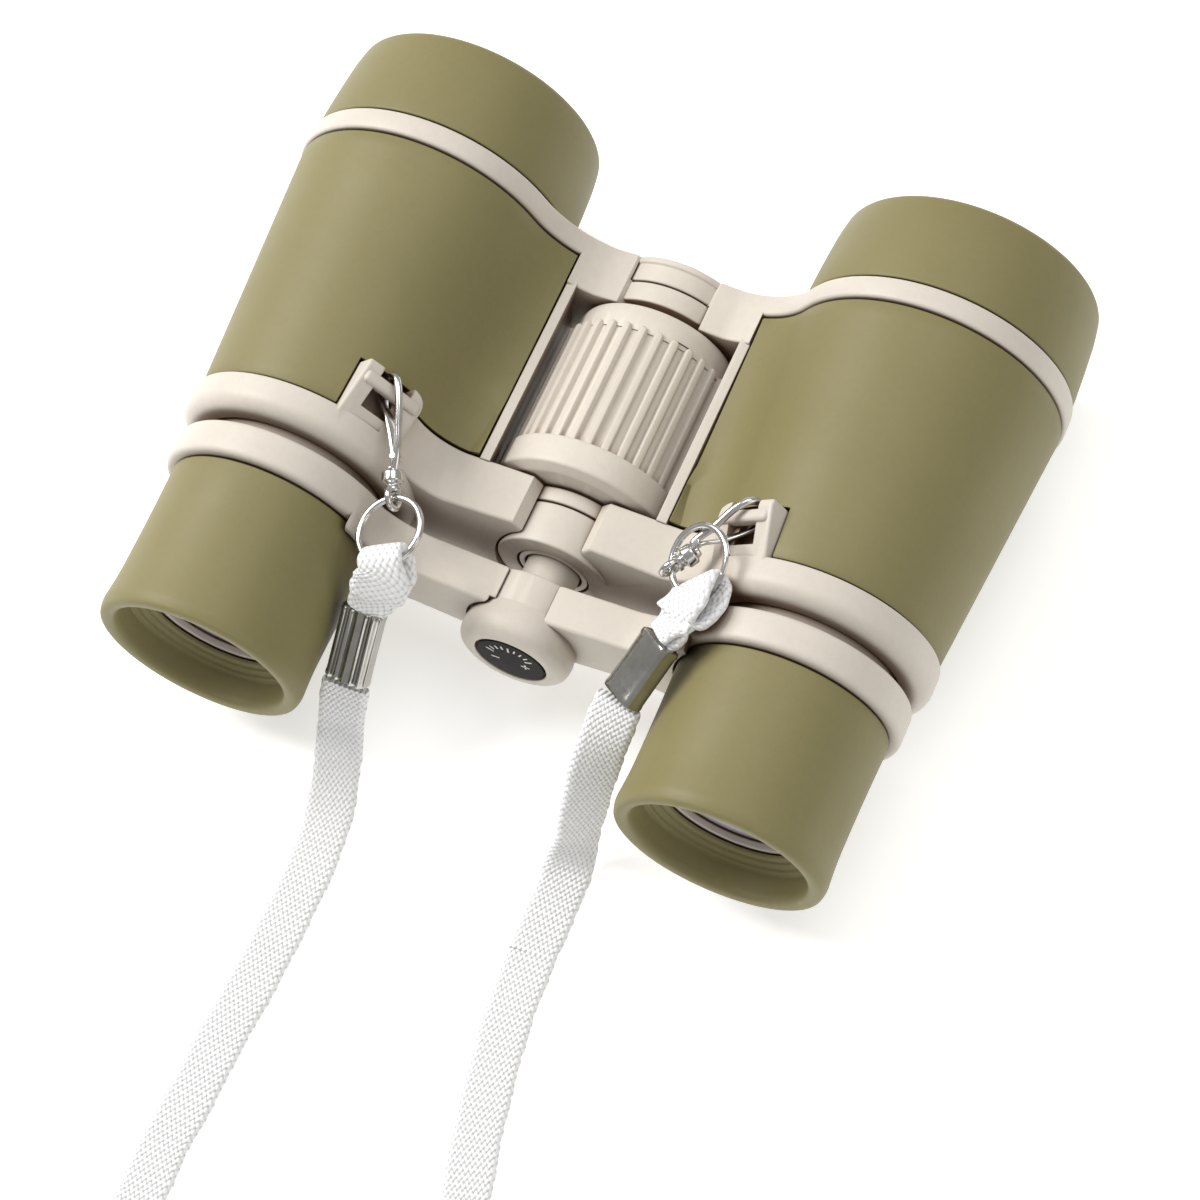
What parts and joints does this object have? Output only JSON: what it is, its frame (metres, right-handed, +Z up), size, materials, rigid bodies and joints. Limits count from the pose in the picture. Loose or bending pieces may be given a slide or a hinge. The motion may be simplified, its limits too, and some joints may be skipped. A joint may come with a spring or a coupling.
{
  "type": "folding binoculars",
  "caption": "Compact folding binoculars with roofless straight barrels, a ribbed centre focus wheel, two linked eyepieces and a flat woven neck strap on clips.",
  "frame": {"origin": "middle of the bounding box's bottom face, on the surface the binoculars lie on, without the free strap and its clips", "axes": "+Y along the barrels towards the objectives, +X to the user's right, +Z up, away from the surface"},
  "size_m": [0.1138, 0.2493, 0.04],
  "materials": {
    "cream_plastic": "matte",
    "olive_plastic": "matte",
    "black_plastic": "matte",
    "badge_plastic": "satin",
    "lens_glass": "polished",
    "clip_steel": "polished",
    "hinge_steel": "satin",
    "bush_acetal": "satin",
    "strap_fabric": "woven"
  },
  "bodies": {
    "left_barrel": {"left_frame": "cream_plastic", "left_barrel_cover": "olive_plastic", "left_objective_hood": "olive_plastic", "left_objective_lens": "lens_glass", "left_lens_ring": "black_plastic", "front_hinge_pin": "hinge_steel", "rear_hinge_bush": "bush_acetal", "strap_left_run": "strap_fabric", "strap_coil": "strap_fabric", "strap_right_run": "strap_fabric"},
    "right_barrel": {"right_frame": "cream_plastic", "right_barrel_cover": "olive_plastic", "right_objective_hood": "olive_plastic", "right_objective_lens": "lens_glass", "right_lens_ring": "black_plastic", "strap_right_end": "strap_fabric"},
    "focus_wheel": {"focus_wheel": "cream_plastic"},
    "eyepiece_bridge": {"left_eyepiece_arm": "cream_plastic", "left_eyepiece_tube": "cream_plastic", "left_eye_lens": "lens_glass", "left_eye_lens_ring": "black_plastic", "left_eyecup": "olive_plastic", "focus_rod": "cream_plastic"},
    "right_eyepiece": {"right_eyepiece_arm": "cream_plastic", "right_eyepiece_tube": "cream_plastic", "right_eye_lens": "lens_glass", "right_eye_lens_ring": "black_plastic", "right_eyecup": "olive_plastic", "hub_badge": "badge_plastic"},
    "left_clip": {"left_strap_hook": "clip_steel", "left_split_ring": "clip_steel", "left_strap_loop": "strap_fabric", "left_crimp": "clip_steel"},
    "right_clip": {"right_strap_hook": "clip_steel", "right_split_ring": "clip_steel", "right_strap_loop": "strap_fabric", "right_crimp": "clip_steel"}
  },
  "joints": [
    {"name": "fold", "type": "hinge", "parent": "left_barrel", "child": "right_barrel", "pos_m": [0, 0, 0.0145], "axis": [0, 1, 0], "range_deg": [0, 90]},
    {"name": "focus_turn", "type": "hinge", "parent": "left_barrel", "child": "focus_wheel", "pos_m": [0, 0, 0.0145], "axis": [0, 1, 0], "range_deg": [-82, 370]},
    {"name": "focus_slide", "type": "slide", "parent": "left_barrel", "child": "eyepiece_bridge", "axis": [0, -1, 0], "range_m": [-0.0009, 0.004]},
    {"name": "eyepiece_fold", "type": "hinge", "parent": "eyepiece_bridge", "child": "right_eyepiece", "pos_m": [0, 0, 0.0145], "axis": [0, 1, 0], "range_deg": [0, 90]},
    {"name": "left_clip_swing", "type": "hinge", "parent": "left_barrel", "child": "left_clip", "pos_m": [-0.02529, -0.0064, 0.03385], "axis": [-0.7612, 0, 0.6485], "range_deg": [0, 35]},
    {"name": "right_clip_swing", "type": "hinge", "parent": "right_barrel", "child": "right_clip", "pos_m": [0.02529, -0.0064, 0.03385], "axis": [-0.7612, 0, -0.6485], "range_deg": [0, 35]}
  ],
  "couplings": [
    {"joint": "focus_turn", "follows": "focus_slide", "rad_per_m": 1570.8},
    {"joint": "eyepiece_fold", "follows": "fold", "ratio": 1}
  ]
}
